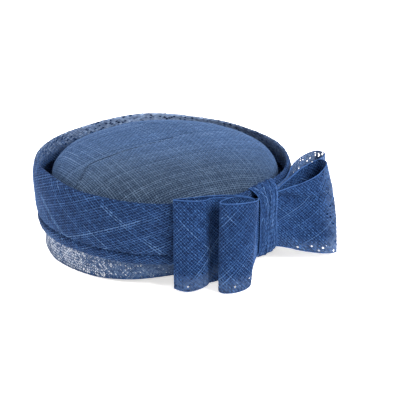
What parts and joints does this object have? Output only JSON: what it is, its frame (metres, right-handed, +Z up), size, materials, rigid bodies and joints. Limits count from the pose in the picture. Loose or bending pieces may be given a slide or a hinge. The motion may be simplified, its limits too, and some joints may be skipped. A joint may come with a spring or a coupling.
{
  "type": "pillbox hat",
  "caption": "Round hat of open-weave straw cloth: a domed crown inside a wide folded band on a sheer base strip, with a looped ribbon bow at one side.",
  "frame": {"origin": "middle of the hat's bounding box in plan, on the surface that the hat rests on", "axes": "+Z up through the crown, -Y towards the front of the picture, +X towards the side where the bow's free loops stand out"},
  "size_m": [0.2338, 0.202, 0.08],
  "materials": {
    "crown_cloth": "plain-woven blue-grey straw cloth, matt",
    "band_cloth": "folded blue straw cloth on the bias, matt with slub threads",
    "sheer_cloth": "single open layer of blue straw cloth",
    "bow_cloth": "blue straw-cloth ribbon on the bias, faint sheen"
  },
  "bodies": {
    "root": {"crown": "crown_cloth", "band": "band_cloth", "base_strip": "sheer_cloth", "bow_loop_left_long": "bow_cloth", "bow_loop_left_short": "bow_cloth", "bow_loop_right_front": "bow_cloth", "bow_loop_right_back": "bow_cloth", "bow_knot": "bow_cloth"}
  },
  "joints": []
}
